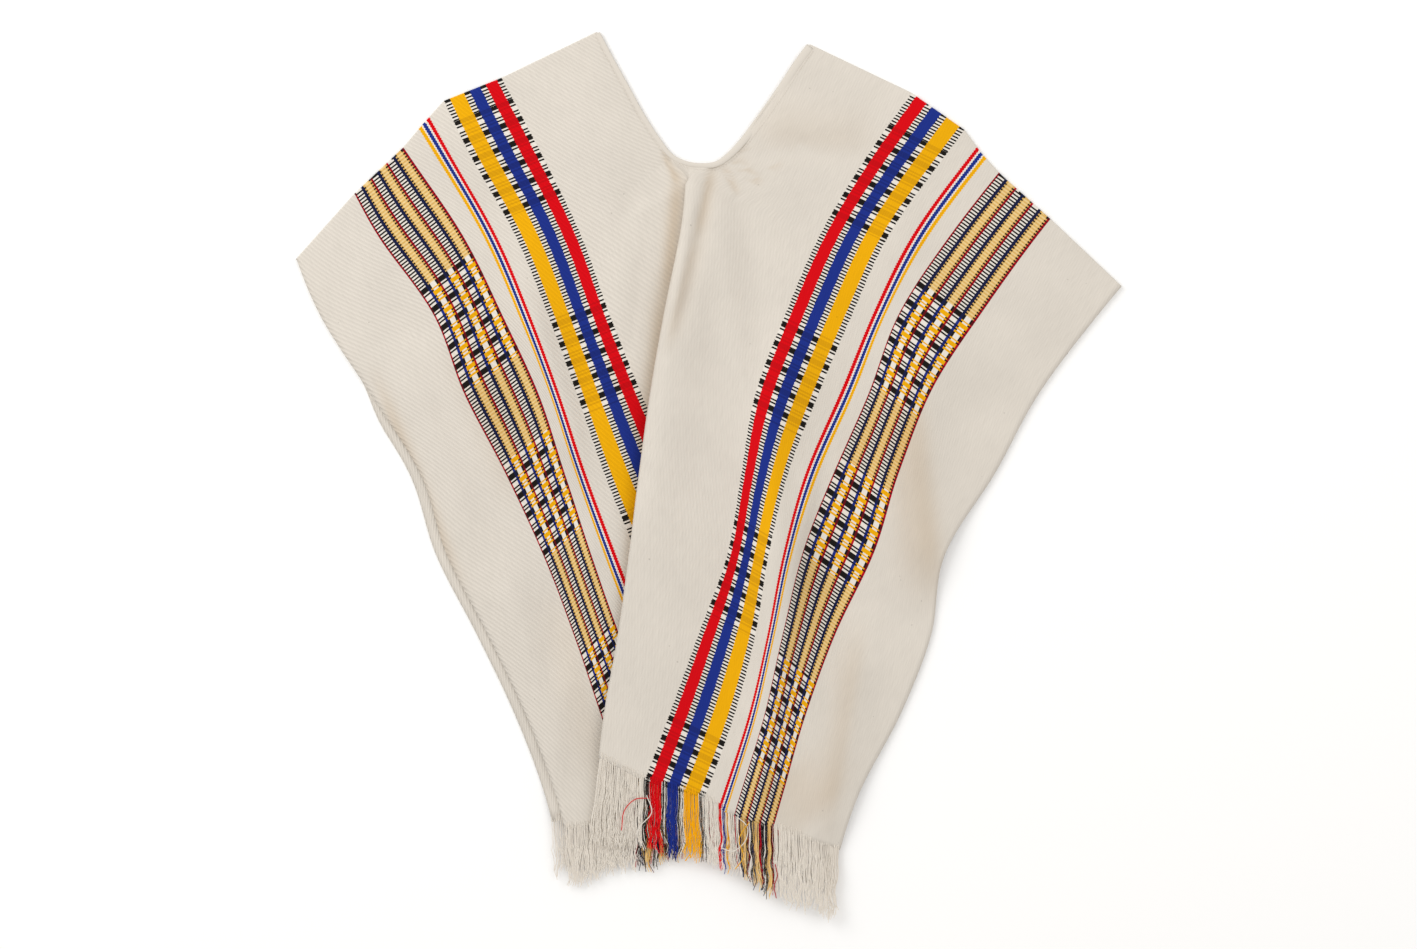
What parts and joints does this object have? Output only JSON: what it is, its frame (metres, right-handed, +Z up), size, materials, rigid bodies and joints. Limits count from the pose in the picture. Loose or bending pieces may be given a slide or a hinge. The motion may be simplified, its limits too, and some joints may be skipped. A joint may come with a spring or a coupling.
{
  "type": "poncho",
  "caption": "Woven wool-white poncho laid flat, folded at the shoulders, with a rolled neck slit, striped bands, a centre pleat and fringed hems.",
  "frame": {"origin": "middle of the laid outline, on the surface it lies on", "axes": "+Z up from the surface, +Y towards the shoulders, +X towards the side that lies on top at the centre pleat"},
  "size_m": [0.8256, 0.8878, 0.0354],
  "materials": {
    "woven_cloth": "matte cream twill with woven warp stripes",
    "neck_hem": "matte rolled and stitched hem",
    "fringe": "matte loose warp yarn"
  },
  "bodies": {
    "root": {"cloth": "woven_cloth", "neck_hem": "neck_hem", "fringe_front_right": "fringe", "fringe_front_middle": "fringe", "fringe_front_left": "fringe", "fringe_back_right": "fringe", "fringe_back_middle": "fringe", "fringe_back_left": "fringe"}
  },
  "joints": []
}
